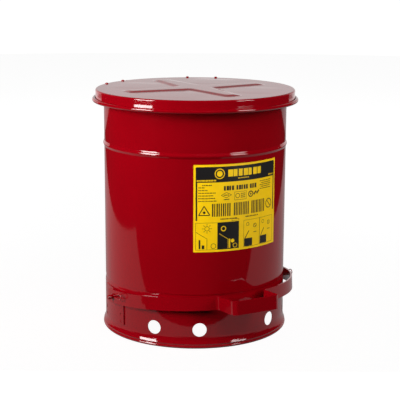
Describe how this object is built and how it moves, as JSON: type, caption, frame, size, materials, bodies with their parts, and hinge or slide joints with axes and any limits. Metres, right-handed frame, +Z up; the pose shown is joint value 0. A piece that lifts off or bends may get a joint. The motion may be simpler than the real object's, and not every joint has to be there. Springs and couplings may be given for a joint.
{
  "type": "oily waste can",
  "caption": "Round red steel waste can on a vented base ring, with a hinged flat lid that a wrap-round foot lever opens through a lift rod at the back.",
  "frame": {"origin": "middle of the base ring's foot, on the floor", "axes": "+Z up the can, -Y to the front with the treadle and the label, +Y to the hinge at the back, +X to the can's own left (right in a view from the front)"},
  "size_m": [0.4039, 0.4888, 0.4665],
  "materials": {
    "red_enamel": "glossy red enamel on steel sheet",
    "label_film": "yellow and black printed vinyl",
    "zinc_steel": "zinc-plated rod and pins"
  },
  "bodies": {
    "can": {"body_shell": "red_enamel", "bottom_pan": "red_enamel", "base_ring": "red_enamel", "label": "label_film", "pivot_bracket_left": "red_enamel", "pivot_bracket_right": "red_enamel", "pivot_pin_left": "red_enamel", "pivot_pin_right": "red_enamel", "pivot_hairpin_left": "red_enamel", "pivot_hairpin_right": "red_enamel", "pivot_washer_left": "red_enamel", "pivot_spacer_right": "red_enamel", "hinge_bracket": "red_enamel", "hinge_pin": "zinc_steel", "hinge_pin_cap": "zinc_steel"},
    "lid": {"lid_cover": "red_enamel", "lid_band": "red_enamel", "lid_rivets": "red_enamel", "lid_hinge_leaf": "red_enamel", "leaf_rivets": "red_enamel", "lid_lift_arm": "red_enamel"},
    "foot_lever": {"foot_lever": "red_enamel", "lever_lug": "red_enamel"},
    "lift_rod": {"lift_rod": "zinc_steel", "rod_washer_lower": "zinc_steel", "rod_washer_upper": "zinc_steel", "rod_cotter_lower": "zinc_steel", "rod_cotter_upper": "zinc_steel"}
  },
  "joints": [
    {"name": "lid_hinge", "type": "hinge", "parent": "can", "child": "lid", "pos_m": [0, 0.23646, 0.45], "axis": [-1, 0, 0], "range_deg": [0, 60]},
    {"name": "lever_pivot", "type": "hinge", "parent": "can", "child": "foot_lever", "pos_m": [0, -0.016, 0.077], "axis": [1, 0, 0], "range_deg": [0, 8.91]},
    {"name": "rod_pivot", "type": "hinge", "parent": "foot_lever", "child": "lift_rod", "pos_m": [0, 0.20646, 0.05968], "axis": [1, 0, 0], "range_deg": [-8.91, 0]}
  ],
  "couplings": [
    {"joint": "lever_pivot", "follows": "lid_hinge", "ratio": 0.1484},
    {"joint": "rod_pivot", "follows": "lid_hinge", "ratio": -0.1484}
  ]
}
